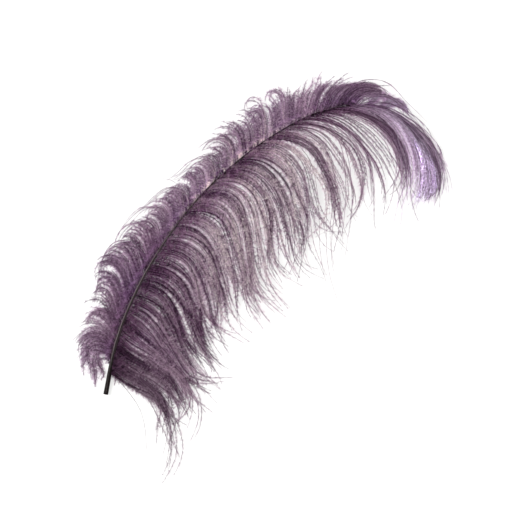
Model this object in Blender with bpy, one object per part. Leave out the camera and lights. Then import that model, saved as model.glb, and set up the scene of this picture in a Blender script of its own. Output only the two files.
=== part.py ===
"""Ostrich plume: one dyed wing feather, lying on a table with the back of its shaft upwards.

Units are metres. X runs along the feather from the cut end of the quill towards the tip, Y across
it towards the short vane, Z up, and the table is z = 0. The origin is under the middle of the
feather. The shaft bows over the table and curls round at the tip. Its barbs leave it on two sides:
a short vane on the outside of the bend and a long vane on the inside, each a blanket of down that
is modelled as one thin arched solid whose outer rim lies flat on the table.
"""
import math

import bmesh
import bpy
from mathutils import Vector

OBJECT_NAME = "ostrich_feather"

# The shaft's centre line and radius at even stations, from the quill's cut end to the feather's
# tip: x and y from the cut end, height over the table, radius.
QUILL_END = Vector((-0.2307, -0.0047, 0.0, 0.0))
CENTRE_LINE = (
    (0.000, 0.000, 0.0028, 0.0028),
    (0.051, 0.033, 0.0070, 0.0023),
    (0.106, 0.057, 0.0125, 0.0018),
    (0.163, 0.073, 0.0170, 0.0014),
    (0.223, 0.082, 0.0200, 0.0012),
    (0.283, 0.082, 0.0210, 0.0010),
    (0.341, 0.074, 0.0200, 0.0008),
    (0.399, 0.056, 0.0165, 0.0007),
    (0.446, 0.020, 0.0115, 0.0005),
    (0.464, -0.035, 0.0070, 0.0004),
    (0.444, -0.090, 0.0045, 0.0002),
)
SHAFT_REACH = 0.93          # the shaft stops here, and the barbs go on to the tip
SHAFT_POINTS = 60
SHAFT_BEVEL_RESOLUTION = 4  # 12 sides

# Barb tips of each vane, x and y from the cut end, at even steps from the first barbs to the tip.
BARBS_START = 0.05
LONG_TIPS = (
    (-0.008, -0.104), (0.068, -0.080), (0.122, -0.070), (0.168, -0.061), (0.228, -0.068),
    (0.292, -0.066), (0.368, -0.068), (0.415, -0.099), (0.428, -0.108), (0.434, -0.108),
)
SHORT_TIPS = (
    (-0.014, 0.036), (0.062, 0.088), (0.134, 0.112), (0.195, 0.117), (0.258, 0.118),
    (0.328, 0.115), (0.406, 0.096), (0.468, 0.034), (0.472, -0.048), (0.449, -0.099),
)
SHAFT_GAP = 0.0004          # clearance between the shaft's side and a vane
RIM = 0.8                   # past this share of a barb's length the vane lies on the table
LONG_BOW = 0.009            # how far the long barbs rise before they fall
SHORT_BOW = 0.003
ROOT_THICKNESS = 0.0030
MIDDLE_THICKNESS = 0.0052
TIP_THICKNESS = 0.0024
VANE_ROWS = 50
VANE_COLUMNS = 10

SHAFT_COLOUR = (0.020, 0.015, 0.013)
SHORT_VANE_COLOUR = (0.172, 0.106, 0.165)
LONG_VANE_COLOUR = (0.205, 0.135, 0.188)


def clear_scene():
    for old in list(bpy.context.scene.objects):
        bpy.data.objects.remove(old, do_unlink=True)


def along(rows, fraction):
    """Value at a fraction (0 to 1) of the way through evenly spaced rows, on a smooth curve."""
    span = fraction * (len(rows) - 1)
    index = min(int(span), len(rows) - 2)
    step = span - index
    places = (max(index - 1, 0), index, index + 1, min(index + 2, len(rows) - 1))
    before, start, end, after = (Vector(rows[place]) for place in places)
    slope_in = (end - before) / 2
    slope_out = (after - start) / 2
    return (start * (2 * step ** 3 - 3 * step ** 2 + 1) + slope_in * (step ** 3 - 2 * step ** 2 + step)
            + end * (3 * step ** 2 - 2 * step ** 3) + slope_out * (step ** 3 - step ** 2))


def centre_line(fraction):
    """x, y, height and radius of the shaft at a fraction of the feather's length."""
    return QUILL_END + along(CENTRE_LINE, fraction)


def side_direction(fraction):
    """Level unit vector across the shaft, towards the short vane."""
    reach = 0.002
    ahead = centre_line(min(fraction + reach, 1.0))
    behind = centre_line(max(fraction - reach, 0.0))
    forward = (ahead - behind).to_2d().normalized()
    return Vector((-forward.y, forward.x))


def principled(name, colour, roughness):
    material = bpy.data.materials.new(name)
    material.use_nodes = True
    shader = material.node_tree.nodes["Principled BSDF"]
    shader.inputs["Base Color"].default_value = (*colour, 1.0)
    shader.inputs["Roughness"].default_value = roughness
    shader.inputs["Metallic"].default_value = 0.0
    material.diffuse_color = (*colour, 1.0)
    return material


def make_shaft(collection):
    """Quill and shaft in one tapering rod, cut square at the quill."""
    curve = bpy.data.curves.new("shaft", "CURVE")
    curve.dimensions = "3D"
    curve.bevel_depth = 1.0
    curve.bevel_resolution = SHAFT_BEVEL_RESOLUTION
    curve.use_fill_caps = True
    spline = curve.splines.new("POLY")
    spline.points.add(SHAFT_POINTS - 1)
    for index, point in enumerate(spline.points):
        x, y, z, radius = centre_line(SHAFT_REACH * index / (SHAFT_POINTS - 1))
        point.co = (x, y, z, 1.0)
        point.radius = radius
    curve.materials.append(principled("shaft_horn", SHAFT_COLOUR, 0.25))
    shaft = bpy.data.objects.new("shaft", curve)
    collection.objects.link(shaft)
    return shaft


def vane_place(tips, side, bow, along_shaft, along_barb):
    """Underside point and thickness of a vane, at fractions along the shaft and along a barb."""
    fraction = BARBS_START + (1.0 - BARBS_START) * along_shaft
    shaft = centre_line(fraction)
    root = shaft.to_2d() + side_direction(fraction) * side * (shaft.w + SHAFT_GAP)
    tip = QUILL_END.to_2d() + along(tips, along_shaft)
    place = root.lerp(tip, along_barb)
    turn = math.pi * min(along_barb / RIM, 1.0)
    root_height = shaft.z - ROOT_THICKNESS / 2
    highest = max(row[2] for row in CENTRE_LINE)
    rise = bow * shaft.z / highest * math.sin(turn) ** 2
    height = root_height * (1.0 + math.cos(turn)) / 2 + rise
    outer = max(along_barb - 0.5, 0.0) * 2
    thickness = ROOT_THICKNESS + (MIDDLE_THICKNESS - ROOT_THICKNESS) * min(along_barb * 2, 1.0)
    thickness += (TIP_THICKNESS - MIDDLE_THICKNESS) * outer
    return Vector((place.x, place.y, height)), thickness


def make_vane(name, collection, tips, side, bow, colour):
    """Blanket of barbs on one side of the shaft; side is 1 for the short vane, -1 for the long."""
    mesh = bpy.data.meshes.new(name)
    bm = bmesh.new()
    bmesh.ops.create_grid(bm, x_segments=VANE_ROWS, y_segments=VANE_COLUMNS, size=0.5)
    shape = {v: vane_place(tips, side, bow, v.co.x + 0.5, v.co.y + 0.5) for v in bm.verts}
    top = bmesh.ops.extrude_face_region(bm, geom=bm.faces[:], use_keep_orig=True)
    lid = {v.co.to_tuple(5): v for v in top["geom"] if isinstance(v, bmesh.types.BMVert)}
    for vert, (place, thickness) in shape.items():
        lid[vert.co.to_tuple(5)].co = place + Vector((0, 0, thickness))
        vert.co = place
    bmesh.ops.recalc_face_normals(bm, faces=bm.faces[:])
    bmesh.ops.triangulate(bm, faces=bm.faces[:])
    bm.to_mesh(mesh)
    bm.free()
    mesh.shade_smooth()
    mesh.materials.append(principled(name + "_down", colour, 0.85))
    vane = bpy.data.objects.new(name, mesh)
    collection.objects.link(vane)
    return vane


def main():
    clear_scene()
    collection = bpy.data.collections.new(OBJECT_NAME)
    bpy.context.scene.collection.children.link(collection)
    make_shaft(collection)
    make_vane("short_vane", collection, SHORT_TIPS, 1, SHORT_BOW, SHORT_VANE_COLOUR)
    make_vane("long_vane", collection, LONG_TIPS, -1, LONG_BOW, LONG_VANE_COLOUR)


main()
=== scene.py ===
"""Dyed ostrich plume lying on a table: horn shaft, short vane, long vane and loose wisps.

Every barb is a tapering three-sided stem with pairs of down blades along it. A few straight
pattern barbs are modelled, then copied, bent along paths that leave the shaft, and gathered into
locks. Units are metres; the plume lies along X with its short vane towards +Y.
"""
import math
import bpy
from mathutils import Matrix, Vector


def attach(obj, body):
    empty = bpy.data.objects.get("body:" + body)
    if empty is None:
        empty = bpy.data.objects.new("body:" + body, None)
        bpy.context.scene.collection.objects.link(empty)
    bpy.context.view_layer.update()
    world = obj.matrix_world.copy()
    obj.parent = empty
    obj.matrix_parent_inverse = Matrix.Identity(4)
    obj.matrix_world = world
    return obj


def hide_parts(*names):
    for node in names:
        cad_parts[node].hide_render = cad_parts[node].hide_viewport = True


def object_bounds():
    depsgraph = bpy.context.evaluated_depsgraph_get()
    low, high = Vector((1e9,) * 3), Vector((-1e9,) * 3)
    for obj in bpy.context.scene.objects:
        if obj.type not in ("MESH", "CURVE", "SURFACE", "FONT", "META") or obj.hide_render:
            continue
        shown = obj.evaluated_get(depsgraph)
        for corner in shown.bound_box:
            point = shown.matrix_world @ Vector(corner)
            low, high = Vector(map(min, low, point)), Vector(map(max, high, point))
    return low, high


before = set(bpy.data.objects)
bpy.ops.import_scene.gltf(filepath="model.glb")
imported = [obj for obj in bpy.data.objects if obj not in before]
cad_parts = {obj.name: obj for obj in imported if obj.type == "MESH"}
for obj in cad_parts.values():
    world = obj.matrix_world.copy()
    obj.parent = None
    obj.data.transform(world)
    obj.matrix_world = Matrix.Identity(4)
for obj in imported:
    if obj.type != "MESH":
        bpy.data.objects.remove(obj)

from types import SimpleNamespace

import bmesh
import bpy
import numpy as np
from bpy.props import FloatProperty, FloatVectorProperty, IntProperty, PointerProperty
from mathutils import Matrix, Vector

CAD_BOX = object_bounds()

bl_info = {
    "name": "Ostrich Plume",
    "version": (1, 0, 0),
    "blender": (4, 5, 0),
    "location": "View3D > Sidebar > Plume",
    "description": "Builds a dyed ostrich plume barb by barb round its shaft",
    "category": "Mesh",
}

# --- The plume's plan, the same as the solid model's ---

# The shaft's centre line and radius at even stations, from the quill's cut end to the feather's
# tip: x and y from the cut end, height over the table, radius.
QUILL_END = np.array((-0.2307, -0.0047, 0.0, 0.0))
CENTRE_LINE = (
    (0.000, 0.000, 0.0028, 0.0028),
    (0.051, 0.033, 0.0070, 0.0023),
    (0.106, 0.057, 0.0125, 0.0018),
    (0.163, 0.073, 0.0170, 0.0014),
    (0.223, 0.082, 0.0200, 0.0012),
    (0.283, 0.082, 0.0210, 0.0010),
    (0.341, 0.074, 0.0200, 0.0008),
    (0.399, 0.056, 0.0165, 0.0007),
    (0.446, 0.020, 0.0115, 0.0005),
    (0.464, -0.035, 0.0070, 0.0004),
    (0.444, -0.090, 0.0045, 0.0002),
)
HIGHEST = max(row[2] for row in CENTRE_LINE)    # where the shaft's bow is highest
SHAFT_REACH = 0.93          # the shaft stops here, and the barbs go on to the tip
LONG_SIDE, SHORT_SIDE = -1, 1

# How the barbs run: station of the root along the centre line, length, then the heading in degrees
# from +X at the root, a third and two thirds of the way along, and at the end.
LONG_GUIDES = (
    (0.05, 0.112, -91, -74, -98, -106),
    (0.11, 0.130, -94, -72, -108, -114),
    (0.16, 0.136, -75, -95, -98, -95),
    (0.20, 0.156, -55, -104, -98, -80),
    (0.25, 0.158, -49, -101, -118, -82),
    (0.30, 0.160, -38, -102, -122, -92),
    (0.36, 0.165, -32, -106, -120, -110),
    (0.43, 0.178, -23, -112, -124, -96),
    (0.50, 0.172, -30, -103, -123, -104),
    (0.58, 0.178, -35, -100, -124, -128),
    (0.64, 0.170, -33, -90, -124, -136),
    (0.70, 0.178, -35, -80, -116, -135),
    (0.75, 0.172, -48, -86, -124, -148),
    (0.80, 0.148, -52, -98, -127, -160),
    (0.86, 0.108, -87, -102, -125, -162),
    (0.93, 0.066, -115, -110, -125, -160),
)
SHORT_GUIDES = (
    (0.06, 0.046, 80, 112, 160, 190),
    (0.09, 0.056, 75, 100, 165, 200),
    (0.12, 0.062, 79, 70, 110, 215),
    (0.17, 0.079, 73, 58, 114, 250),
    (0.22, 0.072, 58, 63, 105, 215),
    (0.28, 0.057, 61, 56, 108, 200),
    (0.34, 0.056, 52, 53, 116, 200),
    (0.40, 0.050, 43, 50, 108, 185),
    (0.47, 0.049, 43, 50, 120, 185),
    (0.54, 0.056, 47, 49, 97, 166),
    (0.60, 0.055, 38, 47, 75, 145),
    (0.65, 0.050, 27, 46, 34, 5),
    (0.70, 0.060, 28, 20, -12, -40),
    (0.74, 0.074, 22, -8, -38, -62),
    (0.774, 0.062, 12, -22, -66, -90),
    (0.778, 0.166, -42, -75, -108, -156),
    (0.84, 0.125, -65, -99, -116, -159),
    (0.88, 0.100, -95, -103, -126, -161),
    (0.93, 0.067, -116, -115, -128, -164),
)
# Locks and single barbs that stray from the rest: how many barbs and how wide their down is as a
# share of the others', then the same as for a guide.
LONG_STRAYS = (
    (2, 0.4, 0.06, 0.026, -104, -118, -135, -150),
    (1, 0.2, 0.06, 0.087, -96, -75, -102, -135),
    (1, 0.1, 0.05, 0.114, -91, -99, -122, -131),
    (3, 0.4, 0.07, 0.188, -81, -90, -122, -166),
    (2, 0.3, 0.07, 0.168, -82, -86, -124, -150),
    (3, 0.5, 0.07, 0.145, -80, -92, -112, -119),
    (2, 0.3, 0.08, 0.150, -88, -84, -100, -168),
    (1, 0.2, 0.07, 0.144, -79, -89, -113, -155),
    (4, 0.4, 0.14, 0.161, -95, -82, -110, -190),
    (3, 0.4, 0.15, 0.171, -81, -87, -112, -159),
    (3, 0.5, 0.18, 0.160, -48, -94, -103, -90),
    (3, 0.4, 0.22, 0.144, -41, -97, -113, -78),
    (3, 0.5, 0.25, 0.161, -29, -100, -119, -85),
    (2, 0.3, 0.26, 0.132, -39, -90, -121, -65),
    (5, 0.8, 0.39, 0.177, -27, -109, -122, -95),
    (5, 0.7, 0.42, 0.187, -19, -113, -124, -81),
    (5, 0.7, 0.45, 0.180, -24, -112, -124, -92),
    (4, 0.6, 0.48, 0.172, -20, -100, -121, -100),
    (2, 0.2, 0.51, 0.197, -23, -104, -125, -167),
    (2, 0.4, 0.53, 0.183, -27, -95, -131, -107),
    (2, 0.2, 0.60, 0.222, -38, -117, -134, -118),
    (2, 0.3, 0.64, 0.189, -44, -113, -141, -121),
    (2, 0.3, 0.67, 0.193, -44, -115, -135, -140),
    (2, 0.3, 0.75, 0.171, -51, -93, -129, -145),
)
SHORT_STRAYS = (
    (2, 1.3, 0.07, 0.064, 43, 157, 235, 215),
    (2, 1.3, 0.07, 0.066, 53, 131, 227, 220),
    (3, 1.3, 0.08, 0.066, 61, 122, 209, 190),
    (2, 1.0, 0.06, 0.048, 43, 158, 265, 181),
    (2, 1.0, 0.07, 0.050, 52, 149, 254, 195),
    (2, 1.3, 0.08, 0.080, 61, 127, 228, 225),
    (2, 1.1, 0.07, 0.060, 43, 157, 240, 225),
    (9, 0.9, 0.09, 0.050, 72, 99, 144, 166),
    (6, 0.9, 0.12, 0.063, 104, 60, 152, 187),
    (5, 1.0, 0.185, 0.076, 68, 62, 104, 225),
    (4, 0.2, 0.25, 0.130, 36, 123, 205, 224),
    (3, 0.2, 0.30, 0.100, 43, 101, 175, 215),
    (3, 0.2, 0.33, 0.085, 43, 81, 161, 182),
    (1, 0.1, 0.38, 0.098, 48, 72, 128, 132),
    (3, 0.2, 0.39, 0.085, 28, 107, 176, 168),
    (4, 0.2, 0.46, 0.080, 19, 93, 178, 163),
    (3, 0.4, 0.51, 0.070, 40, 63, 148, 190),
    (3, 0.6, 0.59, 0.072, 46, 50, 90, 240),
    (2, 0.1, 0.74, 0.133, 31, -27, -88, -94),
    (2, 0.1, 0.78, 0.155, 1, -76, -98, -115),
    (2, 0.1, 0.80, 0.159, -24, -84, -107, -157),
    (5, 0.8, 0.63, 0.067, 44, 46, 78, 225),
    (9, 1.5, 0.76, 0.052, 18, -4, -42, -80),
    (12, 1.6, 0.80, 0.041, 12, -9, -60, -115),
    (11, 1.6, 0.82, 0.047, 6, -22, -74, -132),
    (8, 1.6, 0.83, 0.035, 5, -19, -59, -124),
)
PATH_POINTS = 33
FINE_STEPS = 400        # places along the shaft where it is read closely
RIM = 0.8               # past this share of its length a barb lies on the table
LOWEST = 0.0012         # height of a barb that lies on the table
DOWN_LIFT = 0.0006      # how much higher than its root a blade's end stays over the table
ROOM_SHARE = 0.025      # barbs stay this share of the solid model's box, and a little more, round it
BARB_SPARE = 0.003
STRAY_SPARE = 0.005
# Stations over which the plume comes to its tip's ways.
LOOSER = (0.45, 0.60)   # locks hold together less, and strands differ less
CALMER = (0.74, 0.84)   # barbs stop wandering and lie side by side

# Pattern barbs: how long and how close their down is, how much shorter it gets towards the barb's
# end, and how far it stands out from the stem.
KINDS = (
    (1.0, 1.0, 0.82, 1.0), (1.1, 1.0, 0.82, 1.0), (0.9, 1.0, 0.82, 1.0), (1.0, 1.0, 0.75, 1.0),
    (0.8, 0.65, 0.82, 1.0), (0.7, 0.8, 0.82, 1.0), (0.95, 0.55, 0.75, 1.0),
    (0.9, 1.0, 0.60, 0.40), (1.1, 0.9, 0.60, 0.45), (1.0, 1.0, 0.60, 0.35),
    (0.9, 0.9, 0.40, 1.0), (1.1, 0.9, 0.50, 1.0),
)
FULL_KINDS = range(0, 4)
THIN_KINDS = range(4, 7)
SLEEK_KINDS = range(7, 10)
STRAY_KINDS = range(10, 12)
STEM_RINGS = 16
STEM_SHARE = 0.3        # share of a barb's row on the colour map that its stem takes
DOWN_SHARE = 0.4        # where the roots of the down lie on that row
ROW_MARGIN = 0.04       # and how much of the row is left empty on each side

TABLE_REACH = 4.0       # how far the table goes each way
TABLE_GAP = 0.0003      # how far it is under the plume
PICTURE_CENTRE = (0.0035, -0.0145)      # the point of the table that the camera is over

# --- Settings ---


class PlumeSettings(bpy.types.PropertyGroup):
    """Sizes and colours of the plume."""
    horn_colour: FloatVectorProperty(
        name="Horn colour", description="Dark horn of the quill and the shaft's edges",
        subtype="COLOR", min=0, max=1, default=(0.004, 0.002, 0.002))
    # The paler line along the shaft is a painted highlight on the side that faces the key light.
    lit_line_colour: FloatVectorProperty(
        name="Groove colour", description="Paler line along the middle of the shaft",
        subtype="COLOR", min=0, max=1, default=(0.125, 0.092, 0.102))
    stem_colour: FloatVectorProperty(
        name="Stem colour", description="Stems of the barbs",
        subtype="COLOR", min=0, max=1, default=(0.040, 0.018, 0.034))
    down_colour: FloatVectorProperty(
        name="Down colour", description="Down of the vanes",
        subtype="COLOR", min=0, max=1, default=(0.52, 0.26, 0.47))
    outer_colour: FloatVectorProperty(
        name="Outer colour", description="Down towards the ends of the barbs",
        subtype="COLOR", min=0, max=1, default=(0.75, 0.53, 0.69))
    # The tip's lilac is partly the down's own paler colour there and partly a painted sheen.
    tip_and_sheen_colour: FloatVectorProperty(
        name="Tip colour", description="Down at the drooping tip of the plume",
        subtype="COLOR", min=0, max=1, default=(0.91, 0.78, 0.99))
    long_barbs: IntProperty(
        name="Long barbs", description="Barbs on the inside of the bend", min=50, default=520)
    short_barbs: IntProperty(
        name="Short barbs", description="Barbs on the outside of the bend", min=50, default=560)
    down_length: FloatProperty(
        name="Down length", description="Longest blades of down on a barb",
        subtype="DISTANCE", unit="LENGTH", default=0.0068)
    down_spacing: FloatProperty(
        name="Down spacing", description="Distance from one pair of blades to the next",
        subtype="DISTANCE", unit="LENGTH", default=0.00032)
    blade_width: FloatProperty(
        name="Blade width", description="Width of a blade of down at its root",
        subtype="DISTANCE", unit="LENGTH", default=0.00032)
    stem_radius: FloatProperty(
        name="Stem radius", description="Radius of a barb's stem at the shaft",
        subtype="DISTANCE", unit="LENGTH", default=0.00028)


class PlumeStageSettings(bpy.types.PropertyGroup):
    """Table, light and camera."""
    floor_colour: FloatVectorProperty(
        name="Floor colour", description="Plain pale table top",
        subtype="COLOR", min=0, max=1, default=(0.90, 0.90, 0.89))
    floor_glow: FloatProperty(
        name="Floor glow", description="How much the table top glows by itself", default=0.74)
    lens: FloatProperty(
        name="Lens", description="Focal length of the camera", unit="CAMERA", default=100.0)
    picture_width: FloatProperty(
        name="Picture width", description="Width of the table that the camera sees",
        subtype="DISTANCE", unit="LENGTH", default=0.589)


# --- Curves along the shaft ---


def along(rows, fractions):
    """Values at fractions (0 to 1) of the way through evenly spaced rows, on a smooth curve."""
    rows = np.asarray(rows, float)
    last = len(rows) - 1
    span = np.clip(fractions, 0, 1) * last
    index = np.minimum(span.astype(int), last - 1)
    step = (span - index)[:, None]
    before, start, end, after = (rows[np.clip(index + k, 0, last)] for k in (-1, 0, 1, 2))
    return (start * (2 * step ** 3 - 3 * step ** 2 + 1)
            + (end - before) / 2 * (step ** 3 - 2 * step ** 2 + step)
            + end * (3 * step ** 2 - 2 * step ** 3)
            + (after - start) / 2 * (step ** 3 - step ** 2))


def centre_line(fractions):
    """x, y, height and radius of the shaft at fractions of the feather's length."""
    return QUILL_END + along(CENTRE_LINE, np.asarray(fractions, float))


def guide_rows(guides, stations):
    """Rows of a guide table at any stations, without the stations themselves."""
    guides = np.array(guides)
    place = np.interp(stations, guides[:, 0], np.linspace(0, 1, len(guides)))
    return along(guides[:, 1:], place)


def unit(vectors):
    return vectors / np.maximum(np.linalg.norm(vectors, axis=-1, keepdims=True), 1e-12)


def axes_along(paths):
    """Forward, level sideways and upward unit vectors at each point of some paths."""
    forward = unit(np.gradient(paths, axis=-2))
    side = unit(np.cross((0.0, 0.0, 1.0), forward))
    return forward, side, np.cross(forward, side)


def ease(values, start, end):
    """0 before start, 1 after end and smooth between."""
    share = np.clip((values - start) / (end - start), 0, 1)
    return share * share * (3 - 2 * share)


# --- Barb paths ---


def bunches(rng, count, smallest, largest):
    """Number of the bunch that each of a row of barbs belongs to, in bunches of random size."""
    sizes = rng.integers(smallest, largest + 1, count)
    return np.repeat(np.arange(count), sizes)[:count]


def spans(groups):
    """Where each group of a row of barbs starts, and how many barbs it has."""
    starts = np.flatnonzero(np.diff(groups, prepend=-1))
    return starts, np.diff(np.append(starts, len(groups)))


def place_in(groups):
    """How far each barb is from the middle of its group, from -1 to 1."""
    starts, sizes = spans(groups)
    return (np.arange(len(groups)) - np.repeat(starts, sizes) + 0.5) / np.repeat(sizes, sizes) * 2 - 1


def ripple(rng, groups, reach, size):
    """Smooth random swing along each barb, alike within a group and growing outwards."""
    count = groups.max() + 1
    swing = 0
    for pace in (1.0, 2.1, 3.7, 6.4):
        phase = rng.uniform(0, 2 * math.pi, (count, 1))
        own_pace = pace * rng.uniform(0.7, 1.3, (count, 1))
        swing = swing + np.sin(2 * math.pi * own_pace * reach + phase) / pace ** 0.7
    return size * swing[groups] * reach ** 0.8


def gather(paths, groups, pull):
    """Draws the barbs of each group towards their mean path, by a share for each barb and point."""
    starts, sizes = spans(groups)
    mean = np.add.reduceat(paths, starts, axis=0) / sizes[:, None, None]
    return paths + (np.repeat(mean, sizes, axis=0) - paths) * pull[..., None]


def turned(paths, curl, reach):
    """Paths whose headings swing by an angle of their own towards their ends."""
    steps = np.diff(paths, axis=1, prepend=paths[:, :1])
    angle = curl[:, None] * ease(reach, 0.55, 1.0)
    cos, sin = np.cos(angle), np.sin(angle)
    flat = np.stack((steps[..., 0] * cos - steps[..., 1] * sin,
                     steps[..., 0] * sin + steps[..., 1] * cos), -1)
    flat = paths[:, :1, :2] + np.cumsum(flat, axis=1)
    return np.concatenate((flat, paths[..., 2:]), -1)


def shortened(paths, share):
    """The first share of each path, at the same number of points."""
    span = np.linspace(0, 1, PATH_POINTS) * share[:, None] * (PATH_POINTS - 1)
    index = np.minimum(span.astype(int), PATH_POINTS - 2)
    step = (span - index)[..., None]
    before = np.take_along_axis(paths, index[..., None], 1)
    return before + (np.take_along_axis(paths, index[..., None] + 1, 1) - before) * step


def share_inside(paths, spare):
    """Share of each path that stays inside the room that the plume may take up."""
    low, high = (np.array(corner)[:2] for corner in CAD_BOX)
    room = ROOM_SHARE * (high - low) + spare
    inside = np.all((paths[..., :2] > low - room) & (paths[..., :2] < high + room), axis=-1)
    return np.where(inside.all(axis=1), 1.0, np.argmin(inside, axis=1) / (PATH_POINTS - 1))


def spread_stations(count, start, thickness):
    """Stations along the shaft for a number of barbs, closer where the vane is thicker."""
    fine = np.linspace(start, SHAFT_REACH, FINE_STEPS)
    total = np.cumsum(along(np.array(thickness)[:, None], np.linspace(0, 1, FINE_STEPS))[:, 0])
    return np.interp((np.arange(count) + 0.5) / count * total[-1], total, fine)


def barb_heights(reach, shaft_height, bow, layer):
    """Height of each point of each barb: down from the shaft, over a bow, to the table."""
    turn = math.pi * np.minimum(reach / RIM, 1.0)
    fall = (shaft_height - LOWEST) * (1 + np.cos(turn)) / 2
    rise = (bow * shaft_height / HIGHEST + layer) * np.sin(turn * 0.5 + reach * 0.9) ** 2
    return np.maximum(LOWEST + fall + rise * np.sin(math.pi * reach) ** 0.5, LOWEST)


def sweep(stations, lengths, headings, layer, vane):
    """Paths that leave the shaft at the stations and run at their headings, barbs by points."""
    reach = np.linspace(0, 1, PATH_POINTS)
    step = (lengths / (PATH_POINTS - 1))[:, None]
    run = np.cumsum(np.stack((np.cos(headings) * step, np.sin(headings) * step), -1), axis=1)
    run -= run[:, :1].copy()
    shaft = centre_line(stations)
    ahead, behind = centre_line(stations + 0.002), centre_line(stations - 0.002)
    forward = unit(ahead[:, :2] - behind[:, :2])
    across = np.stack((-forward[:, 1], forward[:, 0]), -1) * vane.side
    root = shaft[:, :2] + across * shaft[:, 3:] * vane.rooted
    height = barb_heights(reach, shaft[:, 2:3], vane.bow, layer[:, None])
    height += shaft[:, 3:] * (1.1 - vane.rooted) * (1 - ease(reach, 0.0, 0.06))
    return np.concatenate((root[:, None] + run, height[..., None]), -1)


def barb_paths(rng, vane, stations, lock, strand):
    """Path and length of each barb of a vane, gathered into strands and locks."""
    count = len(stations)
    reach = np.linspace(0, 1, PATH_POINTS)
    unruly = 1 - 0.8 * ease(stations, *CALMER)
    rows = guide_rows(vane.guides, stations)
    loose = rng.random(count) < vane.loose_share
    length = rows[:, 0] * (1 + unruly * rng.normal(0, 0.05, count)[lock])
    heading = np.radians(along(rows[:, 1:].T, reach).T)
    heading += (rng.normal(0, vane.fan * 0.3, count)[strand]
                + rng.normal(0, vane.fan, count))[:, None]
    swing = unruly[:, None]
    heading += swing * ripple(rng, lock, reach, vane.lock_swing)
    heading += swing * ripple(rng, strand, reach, vane.strand_swing)
    heading += swing * ripple(rng, np.arange(count), reach, vane.own_swing)
    layer = rng.normal(0, vane.layer, count)[lock] + rng.normal(0, vane.layer * 0.6, count)
    paths = sweep(stations, length, heading, layer, vane)
    free = np.where(loose, 0.2, rng.uniform(0.3, 1.15, count)[strand])[:, None]
    held = np.where(loose, 0.2, 1.0)[:, None]
    paths = gather(paths, strand, held * vane.strand_pull * ease(reach, 0.0, 0.25)
                   * (1 - 0.4 * ease(reach, 0.7, 1.0)))
    tight = vane.lock_pull * (1 - 0.5 * ease(stations, *LOOSER))[:, None]
    paths = gather(paths, lock, free * tight * ease(reach, vane.lock_from, 0.8)
                   * (1 - 0.3 * ease(reach, 0.8, 1.0)))
    curl = rng.normal(0, vane.curl, count) + rng.normal(0, vane.curl * 0.6, count)[strand]
    paths = turned(paths, curl * unruly * np.where(loose, 1.6, 1.0), reach)
    share = 1 - vane.shortest * unruly * rng.random(count) ** 0.8
    share = np.minimum(np.where(loose, 1.0, share), share_inside(paths, BARB_SPARE))
    return shortened(paths, share), length * share


def stray_paths(rng, vane):
    """Path, length, station and down share of each stray barb on one side of the shaft."""
    table = np.array(vane.strays)
    rows = table[np.repeat(np.arange(len(table)), table[:, 0].astype(int)), 1:]
    down, rows = rows[:, 0], rows[:, 1:]
    count = len(rows)
    reach = np.linspace(0, 1, PATH_POINTS)
    stations = rows[:, 0] + rng.normal(0, 0.002, count)
    length = rows[:, 1] * rng.uniform(0.85, 1.04, count)
    heading = np.radians(along(rows[:, 2:].T, reach).T) + rng.normal(0, 0.02, (count, 1))
    heading += ripple(rng, np.arange(count), reach, vane.stray_swing)
    paths = sweep(stations, length, heading, rng.normal(0, vane.layer, count), vane)
    share = share_inside(paths, STRAY_SPARE)
    return shortened(paths, share), length * share, stations, down


# --- Pattern barbs and their copies ---


def finished_mesh(bm, name):
    """The mesh that was being edited, as data for an object."""
    mesh = bpy.data.meshes.new(name)
    bm.to_mesh(mesh)
    bm.free()
    return mesh


def new_object(name, data):
    """An object in the scene with its mesh, light or camera."""
    made = bpy.data.objects.new(name, data)
    bpy.context.scene.collection.objects.link(made)
    return made


def add_rod(bm, sides, radius, end_radius, rings):
    """Closed rod along X from 0 to 1, in a number of rings."""
    turn = Matrix.Translation((0.5, 0, 0)) @ Matrix.Rotation(math.radians(90), 4, "Y")
    bmesh.ops.create_cone(bm, cap_ends=True, segments=sides, radius1=radius, radius2=end_radius,
                          depth=1.0, matrix=turn)
    lengthwise = [e for e in bm.edges if abs(e.verts[0].co.x - e.verts[1].co.x) > 0.5]
    bmesh.ops.subdivide_edges(bm, edges=lengthwise, cuts=rings - 1, use_grid_fill=True)


def add_stem(bm, across, radius):
    """Three-sided tapering stem along X from 0 to 1."""
    add_rod(bm, 3, radius, radius * 0.4, STEM_RINGS)
    bmesh.ops.recalc_face_normals(bm, faces=bm.faces[:])
    for vert in bm.verts:
        turn = math.atan2(vert.co.z, vert.co.y) / (2 * math.pi) % 1.0
        vert[across] = STEM_SHARE * turn


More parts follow.
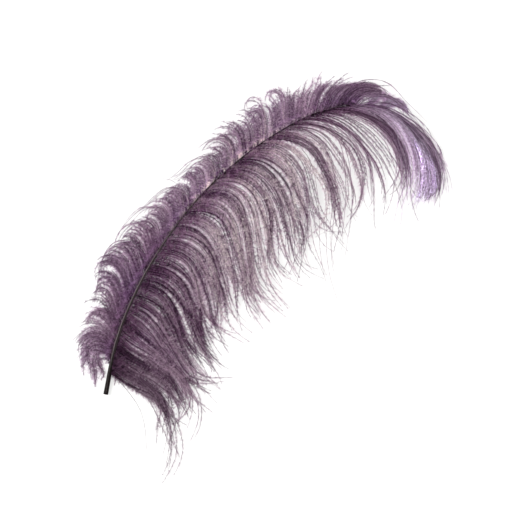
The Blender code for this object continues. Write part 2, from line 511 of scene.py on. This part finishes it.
def add_down(bm, rng, across, grain, length, settings, fluff, close, fade, spread):
    """Pairs of thin blades of down, one to each side, along a stem that is length long."""
    half = settings.blade_width / length / 2
    pairs = int(length / settings.down_spacing * close)
    tuft_end = 0
    for pair, place in enumerate((np.arange(pairs) + 0.7) / pairs):
        if pair >= tuft_end:
            tuft = rng.normal(size=(2, 4))
            tuft_end = pair + rng.integers(2, 8)
        outer = float(ease(place, 0.7, 1.0))
        tuft_grain = spread * tuft[0, 3]
        full = min(place / 0.05 + 0.45, 1.0) * (1.0 - fade * outer)
        foot = [bm.verts.new((place + end * half, 0, 0)) for end in (-1, 1)]
        for vert in foot:
            vert[across] = DOWN_SHARE
            vert[grain] = tuft_grain + 0.5 * spread * rng.normal()
        for side, (more_long, more_lean, more_roll, paler) in zip((-1, 1), tuft):
            long = settings.down_length * full * fluff
            long *= max(0.8 + 0.25 * more_long + rng.uniform(-0.2, 0.2), 0.25)
            lean = spread * math.radians(58 - 12 * place - 24 * outer + 22 * more_lean
                                         + rng.normal(0, 8))
            roll = spread * math.radians(24 * more_roll + rng.normal(0, 8) - 24)
            out = long * math.sin(lean)
            tip = bm.verts.new((place + long * math.cos(lean) / length,
                                side * out * math.cos(roll), out * math.sin(roll)))
            tip[across] = 1.0
            tip[grain] = spread * (1.2 * paler + 0.6 * rng.normal())
            bm.faces.new((foot[0], foot[1], tip) if side > 0 else (foot[1], foot[0], tip))


def read(collection, name, width=1, kind=np.float32):
    """One value, or a row of them, from every element of a mesh collection."""
    values = np.empty(len(collection) * width, kind)
    collection.foreach_get(name, values)
    return values.reshape(-1, width) if width > 1 else values


def make_pattern(rng, length, settings, fluff, close, fade, spread):
    """A straight barb from x = 0 to 1, with y and z in metres, as plain arrays."""
    bm = bmesh.new()
    across = bm.verts.layers.float.new("across")
    grain = bm.verts.layers.float.new("grain")
    add_stem(bm, across, settings.stem_radius)
    add_down(bm, rng, across, grain, length, settings, fluff, close, fade, spread)
    mesh = finished_mesh(bm, "pattern_barb")
    pattern = SimpleNamespace(
        place=read(mesh.vertices, "co", 3),
        across=read(mesh.attributes["across"].data, "value"),
        grain=read(mesh.attributes["grain"].data, "value"),
        corner=read(mesh.loops, "vertex_index", kind=np.int32),
        start=read(mesh.polygons, "loop_start", kind=np.int32))
    bpy.data.meshes.remove(mesh)
    return pattern


def bend(pattern, paths, lengths, widths):
    """Places of all the pattern's vertices when it is bent along each path."""
    forward, side, lift = axes_along(paths)
    reach = np.clip(pattern.place[:, 0], 0, 1)
    span = reach * (PATH_POINTS - 1)
    index = np.minimum(span.astype(int), PATH_POINTS - 2)
    step = (span - index)[:, None]

    def between(values):
        return values[:, index] * (1 - step) + values[:, index + 1] * step

    beyond = (pattern.place[:, 0] - reach) * lengths[:, None]
    widths = np.where(pattern.across > STEM_SHARE, widths[:, None], 1.0)
    y, z = (pattern.place[:, axis] * widths for axis in (1, 2))
    placed = (between(paths) + between(forward) * beyond[..., None]
              + between(side) * y[..., None] + between(lift) * z[..., None])
    low = LOWEST * 0.15 + DOWN_LIFT * pattern.across
    placed[..., 2] = np.maximum(placed[..., 2], low)
    return placed


def join_barbs(name, patterns, kinds, paths, lengths, widths, stations, tones):
    """One mesh of all the barbs, each a bent copy of its kind of pattern."""
    places, corners, starts, facts, rows = [], [], [], [], []
    verts = loops = 0
    for kind, pattern in enumerate(patterns):
        members = np.flatnonzero(kinds == kind)
        if not len(members):
            continue
        size, turns = len(pattern.place), len(pattern.corner)
        copy = np.arange(len(members))[:, None]
        places.append(bend(pattern, paths[members], lengths[members], widths[members]).reshape(-1, 3))
        corners.append((pattern.corner + copy * size + verts).ravel())
        starts.append((pattern.start + copy * turns + loops).ravel())
        reach = np.tile(np.clip(pattern.place[:, 0], 0, 1), len(members))
        across = np.tile(pattern.across, len(members))
        grain = np.repeat(tones[members], size) * (1 + 0.24 * np.tile(pattern.grain, len(members)))
        facts.append(np.stack((reach, across, np.repeat(stations[members], size),
                               np.clip(grain, 0.3, 1.8))))
        in_row = ROW_MARGIN + (1 - 2 * ROW_MARGIN) * across
        rows.append((np.repeat(members, size) + in_row) / len(paths))
        verts += size * len(members)
        loops += turns * len(members)
    corner = np.concatenate(corners)
    fact = np.concatenate(facts, axis=1).astype(np.float32)
    mesh = bpy.data.meshes.new(name)
    mesh.vertices.add(verts)
    mesh.vertices.foreach_set("co", np.concatenate(places).astype(np.float32).ravel())
    mesh.loops.add(loops)
    mesh.loops.foreach_set("vertex_index", corner)
    start = np.concatenate(starts)
    mesh.polygons.add(len(start))
    mesh.polygons.foreach_set("loop_start", start)
    for label, values in zip(("reach", "across", "station", "tone"), fact):
        mesh.attributes.new(label, "FLOAT", "POINT").data.foreach_set("value", values)
    where = np.stack((fact[0], np.concatenate(rows).astype(np.float32)), -1)
    mesh.uv_layers.new(name="OFBake").uv.foreach_set("vector", where[corner].ravel())
    mesh.update(calc_edges=True)
    return new_object(name, mesh)


# --- Materials ---


def emptied(owner):
    """Empties the node tree of a material or world; returns a function that adds nodes to it."""
    owner.use_nodes = True
    tree = owner.node_tree
    tree.nodes.clear()

    def add(kind, inputs=(), **settings):
        node = tree.nodes.new("ShaderNode" + kind)
        for key, value in settings.items():
            setattr(node, key, value)
        for key, value in dict(inputs).items():
            if isinstance(value, bpy.types.NodeSocket):
                tree.links.new(value, node.inputs[key])
            else:
                node.inputs[key].default_value = value
        return node

    return add


def new_material(name):
    """A material without nodes, and the function that adds them."""
    material = bpy.data.materials.new(name)
    return material, emptied(material)


def scaled(colour, share):
    return [share * channel for channel in colour]


def ramp(add, factor, stops):
    """Colour ramp through (place, colour) stops."""
    node = add("ValToRGB", {"Fac": factor})
    elements = node.color_ramp.elements
    while len(elements) < len(stops):
        elements.new(0.5)
    for element, (place, colour) in zip(elements, stops):
        element.position = place
        element.color = (*colour, 1.0)
    return node.outputs["Color"]


def levels(add, factor, stops):
    """Grey ramp through (place, level) stops."""
    return ramp(add, factor, [(place, (level,) * 3) for place, level in stops])


def mixed(add, factor, first, second, blend="MIX"):
    """The first colour mixed with the second by a factor."""
    first, second = (colour if isinstance(colour, bpy.types.NodeSocket) else (*colour, 1.0)
                     for colour in (first, second))
    return add("Mix", {0: factor, 6: first, 7: second}, data_type="RGBA", blend_type=blend,
               clamp_factor=True).outputs[2]


def darkened(add, colour, red, green, blue):
    """The colour with each channel multiplied by its own factor."""
    factors = add("CombineColor", {"Red": red, "Green": green, "Blue": blue}).outputs["Color"]
    return mixed(add, 1.0, colour, factors, "MULTIPLY")


def mapped(add, value, start, end, low=0.0, high=1.0):
    """A value from start to end turned into one from low to high, and held beyond them."""
    return add("MapRange", {"Value": value, "From Min": start, "From Max": end, "To Min": low,
                            "To Max": high}).outputs["Result"]


def maths(add, operation, first, second=0.0):
    return add("Math", {0: first, 1: second}, operation=operation).outputs[0]


def product(add, *factors):
    """All the factors multiplied together."""
    result = factors[0]
    for factor in factors[1:]:
        result = maths(add, "MULTIPLY", result, factor)
    return result


# How the down of each vane is coloured: its colour along the middle of the shaft, the station where
# it starts to turn to the tip's colour and painted sheen, its share of the full colour at the quill and a
# little further, how dark it is at the barbs' roots, how much of it is cooler, how strong the painted
# highlights on the stems are near the roots of light barbs and on the crest, and how much light shines
# through light barbs and from how far along them.
LONG_DOWN = SimpleNamespace(
    name="long_down", middle=(0.77, 0.54, 0.69), tip_from=0.71, at_quill=(0.33, 0.80),
    root_shade=0.62, cool_share=-0.1, root_glint=0.3, crest_glint=0.0, lit_share=0.75, lit_from=0.16)
SHORT_DOWN = SimpleNamespace(
    name="short_down", middle=(0.52, 0.29, 0.48), tip_from=0.765, at_quill=(0.50, 0.80),
    root_shade=1.05, cool_share=0.4, root_glint=0.9, crest_glint=0.55, lit_share=0.15, lit_from=0.08)
COOL_TINT = (0.82, 0.86, 1.10)      # what the cooler patches make of each channel
STEM_GLINT = (0.46, 0.37, 0.38)      # painted highlight on the stems of light barbs near their roots
LIT_DOWN = (0.72, 0.61, 0.64)       # down that the light shines through


def down_facts(add, look):
    """What the barbs' mesh says about each point, and where the middle and the tip of the plume are."""
    facts = SimpleNamespace(**{label: add("Attribute", attribute_name=label).outputs["Fac"]
                               for label in ("reach", "across", "station", "tone")})
    facts.middle = levels(add, facts.station, ((0.32, 0.0), (0.46, 1.0), (0.58, 1.0), (0.70, 0.0)))
    facts.drooping = mapped(add, facts.station, look.tip_from, look.tip_from + 0.11)
    facts.tipped = product(add, facts.drooping, mapped(add, facts.reach, 0.0, 0.5, 0.15))
    facts.where = add("TexCoord").outputs["Object"]
    return facts


def down_shades(add, settings, look, facts):
    """Colour of the down: darkest at the quill, paler outwards and lilac at the plume's tip, partly a
    painted sheen.
    """
    down = settings.down_colour
    near_quill, further = look.at_quill
    colour = ramp(add, facts.station, (
        (0.05, scaled(down, near_quill)), (0.15, scaled(down, further)), (0.35, down)))
    inside = product(add, facts.middle, mapped(add, facts.reach, 0.12, 0.42))
    colour = mixed(add, inside, colour, look.middle)
    # The tip's lilac, with its painted sheen.
    colour = mixed(add, facts.tipped, colour, settings.tip_and_sheen_colour)
    patches = add("TexNoise", {"Vector": facts.where, "Scale": 16.0, "Detail": 2.0}).outputs["Fac"]
    cooler = mapped(add, patches, 0.0, 1.0, look.cool_share - 0.8, look.cool_share + 0.8)
    colour = mixed(add, cooler, colour, [c * tint for c, tint in zip(down, COOL_TINT)])
    outwards = levels(add, facts.reach, ((0.10, 0.0), (0.45, 0.5), (1.0, 0.5)))
    return mixed(add, outwards, colour, settings.outer_colour)


def stem_shades(add, settings, look, facts):
    """Colour of the stems: dark, with painted highlights near the roots of light barbs and on the crest.
    """
    # Stems at the tip take the tip's lilac and painted sheen too.
    colour = mixed(add, facts.tipped, settings.stem_colour, scaled(settings.tip_and_sheen_colour, 0.8))
    # Painted highlights on the stems: near the roots of light barbs in the middle of the plume, and on
    # the crest.
    pale = product(add, mapped(add, mapped(add, facts.reach, 0.1, 0.6), 0.0, 1.0, look.root_glint, 0.0),
                   facts.middle, mapped(add, facts.tone, 0.95, 1.1))
    colour = mixed(add, pale, colour, STEM_GLINT)
    glint_on_crest = levels(add, facts.station, ((0.56, 0.0), (0.65, look.crest_glint), (0.75, 0.0)))
    colour = mixed(add, glint_on_crest, colour, scaled(settings.outer_colour, 0.5))
    # Stems of light barbs get lighter still with the tone squared: random tone, and partly a painted
    # highlight on their stems.
    strong = maths(add, "POWER", facts.tone, 2.0)
    return darkened(add, colour, strong, strong, strong)


def light_through(add, look, facts):
    """How much light shines through light barbs, most of all along the middle of the plume."""
    full, faint = look.lit_share, 0.1 * look.lit_share
    along_shaft = levels(add, facts.station, ((0.12, faint), (0.36, full), (0.57, full), (0.69, faint)))
    along_barb = levels(add, facts.reach, (
        (look.lit_from, 0.1), (look.lit_from + 0.24, 1.0), (0.65, 1.0), (0.92, 0.4)))
    return product(add, mapped(add, facts.tone, 1.0, 1.7), along_shaft, along_barb)


def down_material(settings, look):
    """Barbs: dark stems with paler down, each barb in its own tone, flecked and darker at its root."""
    material, add = new_material(look.name)
    facts = down_facts(add, look)
    down = down_shades(add, settings, look, facts)
    stem = stem_shades(add, settings, look, facts)
    stem = mixed(add, mapped(add, facts.reach, 0.0, 1.0, 0.0, 0.2), stem, down)
    colour = mixed(add, mapped(add, facts.across, STEM_SHARE, 0.9), stem, down)
    colour = mixed(add, light_through(add, look, facts), colour, LIT_DOWN)
    flecks = add("TexNoise", {"Vector": facts.where, "Scale": 600.0, "Detail": 1.0}).outputs["Fac"]
    root_shade = mapped(add, facts.drooping, 0.0, 1.0, look.root_shade, 1.0)
    shade = product(add, maths(add, "MINIMUM", facts.tone, 1.25), mapped(add, flecks, 0.0, 1.0, 0.2, 1.8),
                    mapped(add, facts.reach, 0.0, 0.22, root_shade))
    colour = darkened(add, colour, shade, maths(add, "POWER", shade, 1.3), shade)
    surface = add("BsdfPrincipled", {
        "Base Color": colour, "Roughness": 0.5, "Specular IOR Level": 0.06})
    through = add("BsdfTranslucent", {"Color": colour})
    both = add("MixShader", {0: 0.4, 1: surface.outputs[0], 2: through.outputs[0]})
    add("OutputMaterial", {"Surface": both.outputs[0]})
    return material


# Pale streaks along the horn: scratches through the dye, and painted highlight lines for the glints along
# the quill.
SCRATCH_AND_GLINT_COLOUR = (0.45, 0.42, 0.38)
LIT_LINE_PLACE = 0.11     # where the painted highlight line runs, on the side that faces the key light: 0 is the short vane's side, 0.25 the back
BACK = (0.24, 0.29)     # past here on the way round, the shaft is a little paler


def horn_material(settings):
    """Polished horn, nearly black, with pale scratches and painted highlight lines at the quill and a
    greyer painted highlight line along the side that faces the key light.
    """
    material, add = new_material("horn")
    reach = add("Attribute", attribute_name="reach").outputs["Fac"]
    around = add("Attribute", attribute_name="around").outputs["Fac"]
    surface_place = add("CombineXYZ", {"X": reach, "Y": around}).outputs[0]
    stretched = add("Mapping", {"Vector": surface_place, "Scale": (14.0, 30.0, 1.0)}).outputs[0]
    streaks = add("TexNoise", {"Vector": stretched, "Scale": 1.0, "Detail": 4.0,
                               "Roughness": 0.6}).outputs["Fac"]
    horn = mixed(add, streaks, scaled(settings.horn_colour, 0.6), scaled(settings.horn_colour, 2.2))
    shows = levels(add, reach, ((0.05, 0.0), (0.10, 0.9), (0.30, 1.0), (0.44, 0.5), (0.60, 0.1)))
    past_back = product(add, mapped(add, around, *BACK), shows)
    colour = mixed(add, past_back, horn, scaled(settings.lit_line_colour, 0.3))
    # Painted highlight: a paler line along the side of the shaft that faces the key light, stronger where
    # the streaks are high.
    off_lit_line = maths(add, "ABSOLUTE", maths(add, "SUBTRACT", around, LIT_LINE_PLACE))
    middle = add("MapRange", {"Value": off_lit_line, "From Min": 0.05, "From Max": 0.11,
                              "To Min": 1.0, "To Max": 0.0}, interpolation_type="SMOOTHSTEP")
    lit_line = product(add, middle.outputs[0], shows, mapped(add, streaks, 0.0, 1.0, 0.3, 1.3))
    colour = mixed(add, lit_line, colour, settings.lit_line_colour)
    # Pale streaks where the streak noise is highest: scratches, and painted highlight lines.
    scratch_and_glint = product(add, mapped(add, streaks, 0.60, 0.72), 0.5)
    colour = mixed(add, scratch_and_glint, colour, SCRATCH_AND_GLINT_COLOUR)
    bump = add("Bump", {"Height": streaks, "Strength": 0.25, "Distance": 0.0002})
    surface = add("BsdfPrincipled", {
        "Base Color": colour, "Roughness": mapped(add, streaks, 0.0, 1.0, 0.14, 0.34),
        "Specular IOR Level": 0.1, "Normal": bump.outputs[0]})
    add("OutputMaterial", {"Surface": surface.outputs[0]})
    return material


def table_material(colour, glow):
    """Plain pale table top that glows enough to stay even under the soft light."""
    material, add = new_material("table_top")
    surface = add("BsdfPrincipled", {
        "Base Color": (*scaled(colour, 0.4), 1.0), "Roughness": 0.9,
        "Emission Color": (*colour, 1.0), "Emission Strength": glow})
    add("OutputMaterial", {"Surface": surface.outputs[0]})
    return material


# --- Pieces ---


def claim(piece, material, node):
    """The piece takes its material, rides on the plume and stands for a solid of the model."""
    piece.data.materials.append(material)
    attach(piece, "root")
    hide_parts(node)


SHAFT_SIDES = 36
SHAFT_RINGS = 140
QUILL_WALL = 0.2        # thickness of the quill's wall at its open end, in quill radii
HOLLOW_DEPTH = 0.012    # how deep the quill is open, as a share of the shaft's length


def section_size(angle, along_shaft):
    """How far the shaft's side is from its middle, in radii: round at the quill, squarer further on."""
    square = float(ease(along_shaft, 0.05, 0.2))
    corner = 2.0 + 1.6 * square
    size = (abs(math.cos(angle)) ** corner + abs(math.sin(angle)) ** corner) ** (-1 / corner)
    under_groove = math.exp(-(abs(angle + math.pi / 2) / 0.45) ** 2)
    ridges = 0.018 * math.sin(9 * angle + 4 * along_shaft) * (1 - square)
    return (size * (1 - 0.30 * square * under_groove) + ridges) * (1 - 0.08 * square)


def straight_shaft():
    """The shaft as a rod along X from 0 to 1, one radius thick, with its quill's end hollow."""
    bm = bmesh.new()
    reach_layer = bm.verts.layers.float.new("reach")
    around_layer = bm.verts.layers.float.new("around")
    add_rod(bm, SHAFT_SIDES, 1.0, 1.0, SHAFT_RINGS)
    cut = min(bm.faces, key=lambda face: face.calc_center_median().x)
    bmesh.ops.inset_individual(bm, faces=[cut], thickness=QUILL_WALL)
    hollow = bmesh.ops.extrude_discrete_faces(bm, faces=[cut])["faces"][0]
    bmesh.ops.translate(bm, verts=hollow.verts, vec=(HOLLOW_DEPTH, 0, 0))
    bmesh.ops.recalc_face_normals(bm, faces=bm.faces[:])
    for vert in bm.verts:
        angle = math.atan2(vert.co.z, vert.co.y)
        size = math.hypot(vert.co.y, vert.co.z) * section_size(angle, vert.co.x)
        vert.co.y, vert.co.z = size * math.cos(angle), size * math.sin(angle)
        vert[reach_layer] = vert.co.x * SHAFT_REACH
        vert[around_layer] = angle / (2 * math.pi) % 1.0
    return finished_mesh(bm, "shaft_horn")


def make_shaft(settings):
    """Hollow-ended quill that becomes a squarer, grooved shaft, bent along the centre line."""
    mesh = straight_shaft()
    place = read(mesh.vertices, "co", 3)
    stations = np.linspace(0, SHAFT_REACH, FINE_STEPS)
    line = centre_line(stations)
    _, side, lift = axes_along(line[:, :3])

    def at_station(rows):
        columns = [np.interp(place[:, 0] * SHAFT_REACH, stations, column) for column in rows.T]
        return np.stack(columns, -1)

    middle = at_station(line)
    across = at_station(side) * place[:, 1:2] + at_station(lift) * place[:, 2:3]
    placed = middle[:, :3] + across * middle[:, 3:]
    placed[:, 2] = np.maximum(placed[:, 2], 0.0)
    mesh.vertices.foreach_set("co", placed.astype(np.float32).ravel())
    mesh.shade_smooth()
    mesh.set_sharp_from_angle(angle=math.radians(50))
    mesh.update()
    claim(new_object("shaft_horn", mesh), horn_material(settings), "shaft")


# The two vanes. Lengths are in metres, swings and fans in radians, and a pair is a smallest and a
# largest number, or a first and a last station.
LONG_VANE = SimpleNamespace(
    node="long_vane", pieces=("base", "middle", "outer", "tip"),
    seed=750, side=LONG_SIDE, guides=LONG_GUIDES, strays=LONG_STRAYS,
    start=0.05,             # station of the first barbs
    rooted=0.25,            # how far out on the shaft's side the barbs start, in shaft radii
    thickness=(1.9, 1.2, 1.1, 1.0, 1.0, 0.95, 0.85, 1.0, 1.5, 1.1),     # at even steps to the tip
    lock=(3, 10),           # barbs in a lock
    strand=(2, 5),          # barbs in a strand
    bow=0.009,              # how far barbs rise before they fall to the table
    layer=0.0022,           # how far locks and barbs lie above each other
    fan=0.05,               # how far barbs turn from each other at their roots
    lock_swing=0.18,        # how far locks, strands, barbs and strays wander from their guides
    strand_swing=0.15,
    own_swing=0.08,
    stray_swing=0.07,
    strand_pull=0.42,       # how closely strands and locks hold together, and from where on a barb
    lock_pull=0.45,
    lock_from=0.36,
    loose_share=0.06,       # share of the barbs that hold to no strand
    curl=0.36,              # how far the ends of barbs turn
    shortest=0.38,          # how much of its length a barb may lack
    tone=0.95,              # how light barbs are, and how much strands differ
    varied=0.40,
    thin_share=0.25,        # share of the strands with thin down, and how many more at the middle
    thin_middle=0.25,
    opened=0.25,            # how much narrower the down is where the vane is thin, near the tip
    sleek_from=(0.58, 0.74),        # where barbs come to have sleek down
    pattern_length=0.145)           # barbs that down is modelled on before they are copied
SHORT_VANE = SimpleNamespace(
    node="short_vane", pieces=("base", "tip"),
    seed=392, side=SHORT_SIDE, guides=SHORT_GUIDES, strays=SHORT_STRAYS,
    start=0.07, rooted=0.75, thickness=(1.2, 1.1, 1.0, 1.0, 0.9, 1.0, 1.3, 1.8, 1.3, 1.0),
    lock=(4, 14), strand=(2, 6), bow=0.003, layer=0.0016, fan=0.07,
    lock_swing=0.12, strand_swing=0.10, own_swing=0.12, stray_swing=0.13,
    strand_pull=0.40, lock_pull=0.32, lock_from=0.45, loose_share=0.06,
    curl=0.35, shortest=0.42, tone=0.98, varied=0.20,
    thin_share=0.2, thin_middle=0.0, opened=0.0, sleek_from=(0.62, 0.74), pattern_length=0.062)


def barb_tones_and_shade(rng, vane, stations, lock, strand):
    """How light each barb is: by itself, its strand and its lock, with painted shade darkening a lock's
    edges.
    """
    count = len(stations)
    varied = vane.varied * (1 - 0.3 * ease(stations, *LOOSER)) * (1 - 0.6 * ease(stations, 0.78, 0.88))
    tones = rng.normal(vane.tone, 0.18, count) * (1 + 0.22 * ease(stations, 0.80, 0.87))
    tones = tones * (1 + varied * rng.normal(0, 1, count)[strand])
    tones = tones * (1 + rng.normal(0, 0.08, count)[lock])
    # Painted shade: barbs at a lock's edges are darker, as if in the shadow between locks, and its middle
    # lighter.
    tones = tones * (1.1 - 0.3 * place_in(lock) ** 2)
    darkest = 0.42 + 0.38 * (ease(stations, 0.48, 0.56) - ease(stations, 0.64, 0.74))
    lightest = 1.65 - 0.40 * ease(stations, 0.7, 0.8)
    return np.clip(tones, darkest, lightest)


def down_widths(rng, vane, stations):
    """Width of each barb's down, as a share of its pattern's: narrow at the tip and where opened."""
    widths = rng.uniform(0.8, 1.15, len(stations)) * (1 - 0.6 * ease(stations, 0.76, 0.84))
    return widths * (1 - vane.opened * (ease(stations, 0.54, 0.61) - ease(stations, 0.69, 0.76)))


def barb_kinds(rng, vane, stations, strand):
    """Which pattern each barb is a copy of; the stations that belong to no strand are strays'."""
    count = len(strand)
    kinds = rng.choice(FULL_KINDS, len(stations))
    own = stations[:count]
    thin_share = vane.thin_share + vane.thin_middle * ease(own, 0.3, 0.5)
    thin = rng.random(count)[strand] < thin_share * (1 - ease(own, 0.68, 0.8))
    kinds[:count][thin] = rng.choice(THIN_KINDS, count)[thin]
    sleek = rng.random(count) < ease(own, *vane.sleek_from)
    kinds[:count][sleek] = rng.choice(SLEEK_KINDS, count)[sleek]
    kinds[count:] = rng.choice(STRAY_KINDS, len(stations) - count)
    return kinds


def make_vane(vane, count, material, settings):
    """All the barbs on one side of the shaft, as a few pieces along it."""
    rng = np.random.default_rng(vane.seed)
    stations = spread_stations(count, vane.start, vane.thickness)
    lock = bunches(rng, count, *vane.lock)
    strand = bunches(rng, count, *vane.strand)
    paths, lengths = barb_paths(rng, vane, stations, lock, strand)
    tones = barb_tones_and_shade(rng, vane, stations, lock, strand)
    stray, stray_lengths, stray_stations, stray_down = stray_paths(rng, vane)
    patterns = [make_pattern(rng, vane.pattern_length, settings, *kind) for kind in KINDS]
    paths = np.concatenate((paths, stray))
    lengths = np.append(lengths, stray_lengths)
    stations = np.append(stations, stray_stations)
    tones = np.append(tones, rng.uniform(0.9, 1.45, len(stray)))
    widths = down_widths(rng, vane, stations)
    widths[count:] *= stray_down
    kinds = barb_kinds(rng, vane, stations, strand)
    parts = list(zip(vane.pieces, np.array_split(np.arange(count), len(vane.pieces))))
    parts.append(("strays", np.arange(count, len(paths))))
    for part, members in parts:
        piece = join_barbs(f"{vane.node}_{part}", patterns, kinds[members], paths[members],
                           lengths[members], widths[members], stations[members], tones[members])
        claim(piece, material, vane.node)


# --- Stage ---


def make_table(stage):
    """Plain table top just under the plume."""
    bm = bmesh.new()
    bmesh.ops.create_grid(bm, x_segments=1, y_segments=1, size=TABLE_REACH)
    mesh = finished_mesh(bm, "table_top")
    mesh.materials.append(table_material(stage.floor_colour, stage.floor_glow))
    table = new_object("table_top", mesh)
    table.location.z = -TABLE_GAP


def make_sky():
    """White surroundings, brighter near the horizon than overhead."""
    world = bpy.data.worlds.new("studio")
    add = emptied(world)
    height = add("SeparateXYZ", {0: add("TexCoord").outputs["Generated"]}).outputs["Z"]
    sky = add("Background", {"Color": (1.0, 1.0, 1.0, 1.0),
                             "Strength": mapped(add, height, 0.1, 0.4, 0.95, 0.38)})
    add("OutputWorld", {"Surface": sky.outputs[0]})
    bpy.context.scene.world = world


def make_lamp(name, place, size, power):
    """Soft square lamp that shines at the middle of the plume."""
    light = bpy.data.lights.new(name, "AREA")
    light.size = size
    light.energy = power
    lamp = new_object(name, light)
    lamp.location = place
    lamp.rotation_euler = (-Vector(place)).to_track_quat("-Z", "Y").to_euler()


def make_camera(stage):
    """Camera straight above the plume, turned so that the quill is at the lower left."""
    camera = bpy.data.cameras.new("camera")
    camera.lens = stage.lens
    camera.clip_end = 20.0
    distance = stage.picture_width * stage.lens / camera.sensor_width
    eye = new_object("camera", camera)
    eye.location = (*PICTURE_CENTRE, distance)
    eye.rotation_euler = (0.0, 0.0, math.radians(-45))
    bpy.context.scene.camera = eye


# --- Operators and panel ---


class PLUME_OT_shaft(bpy.types.Operator):
    """Make the quill and shaft"""
    bl_idname = "plume.shaft"
    bl_label = "Shaft"

    def execute(self, context):
        make_shaft(context.scene.plume)
        return {"FINISHED"}


class PLUME_OT_short_vane(bpy.types.Operator):
    """Make the short barbs on the outside of the bend"""
    bl_idname = "plume.short_vane"
    bl_label = "Short vane"

    def execute(self, context):
        settings = context.scene.plume
        make_vane(SHORT_VANE, settings.short_barbs, down_material(settings, SHORT_DOWN), settings)
        return {"FINISHED"}


class PLUME_OT_long_vane(bpy.types.Operator):
    """Make the long drooping barbs on the inside of the bend"""
    bl_idname = "plume.long_vane"
    bl_label = "Long vane"

    def execute(self, context):
        settings = context.scene.plume
        make_vane(LONG_VANE, settings.long_barbs, down_material(settings, LONG_DOWN), settings)
        return {"FINISHED"}


class PLUME_OT_stage(bpy.types.Operator):
    """Make the table, the soft light and the camera over the plume"""
    bl_idname = "plume.stage"
    bl_label = "Stage"

    def execute(self, context):
        stage = context.scene.plume_stage
        make_table(stage)
        make_sky()
        make_lamp("key", place=(-0.7, 0.9, 1.3), size=0.7, power=27.0)
        make_lamp("fill", place=(0.9, -0.8, 1.2), size=1.2, power=9.0)
        make_camera(stage)
        context.scene.view_settings.view_transform = "Standard"
        return {"FINISHED"}


class PLUME_PT_panel(bpy.types.Panel):
    """Lists the plume's pieces and settings"""
    bl_idname = "PLUME_PT_panel"
    bl_label = "Ostrich plume"
    bl_space_type = "VIEW_3D"
    bl_region_type = "UI"
    bl_category = "Plume"

    def draw(self, context):
        layout = self.layout
        for operator in OPERATORS:
            layout.operator(operator.bl_idname)
        for settings in (context.scene.plume, context.scene.plume_stage):
            for name in settings.__annotations__:
                layout.prop(settings, name)


OPERATORS = (PLUME_OT_shaft, PLUME_OT_short_vane, PLUME_OT_long_vane, PLUME_OT_stage)
CLASSES = (PlumeSettings, PlumeStageSettings, *OPERATORS, PLUME_PT_panel)


def register():
    for each in CLASSES:
        bpy.utils.register_class(each)
    bpy.types.Scene.plume = PointerProperty(type=PlumeSettings)
    bpy.types.Scene.plume_stage = PointerProperty(type=PlumeStageSettings)


def unregister():
    del bpy.types.Scene.plume_stage
    del bpy.types.Scene.plume
    for each in reversed(CLASSES):
        bpy.utils.unregister_class(each)


def main():
    register()
    bpy.ops.plume.shaft()
    bpy.ops.plume.short_vane()
    bpy.ops.plume.long_vane()
    bpy.ops.plume.stage()


if __name__ == "__main__":
    main()
